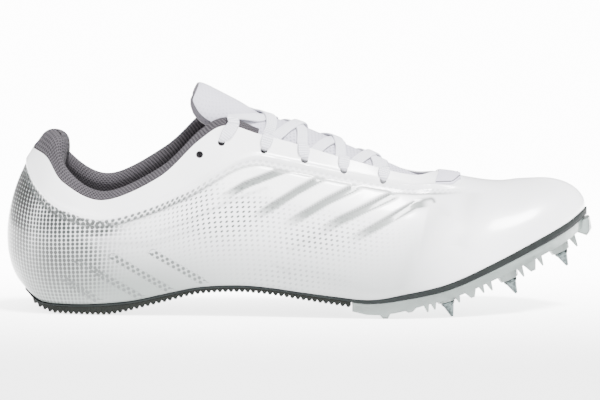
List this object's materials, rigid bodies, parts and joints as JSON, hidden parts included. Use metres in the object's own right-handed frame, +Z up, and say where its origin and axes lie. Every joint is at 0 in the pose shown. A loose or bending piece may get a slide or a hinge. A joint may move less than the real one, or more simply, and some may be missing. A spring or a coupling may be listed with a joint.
{
  "type": "track spike shoe",
  "caption": "Low-cut running spike shoe for the right foot: lasted synthetic upper, padded collar, laced tongue, foam wedge, toothed rubber heel and a clear forefoot plate with cone pins.",
  "frame": {"origin": "middle of the shoe's box in plan, on the floor under it", "axes": "+X heel to toe, +Y towards the inner side of the foot, +Z up"},
  "size_m": [0.2794, 0.089, 0.1088],
  "materials": {
    "upper": "satin",
    "collar_lining": "matte",
    "tongue": "matte",
    "throat_stay": "satin",
    "lace": "matte",
    "insole": "matte",
    "midsole": "matte",
    "outsole_rubber": "matte",
    "spike_plate": "gloss",
    "spike_pin": "satin"
  },
  "bodies": {
    "root": {"upper": "upper", "collar_lining": "collar_lining", "tongue": "tongue", "throat_stay": "throat_stay", "lace": "lace", "insole": "insole", "midsole": "midsole", "outsole_rubber": "outsole_rubber", "spike_plate": "spike_plate", "spike_pin_lateral_1": "spike_pin", "spike_pin_lateral_2": "spike_pin", "spike_pin_lateral_3": "spike_pin", "spike_pin_medial_1": "spike_pin", "spike_pin_medial_2": "spike_pin", "spike_pin_medial_3": "spike_pin"}
  },
  "joints": []
}
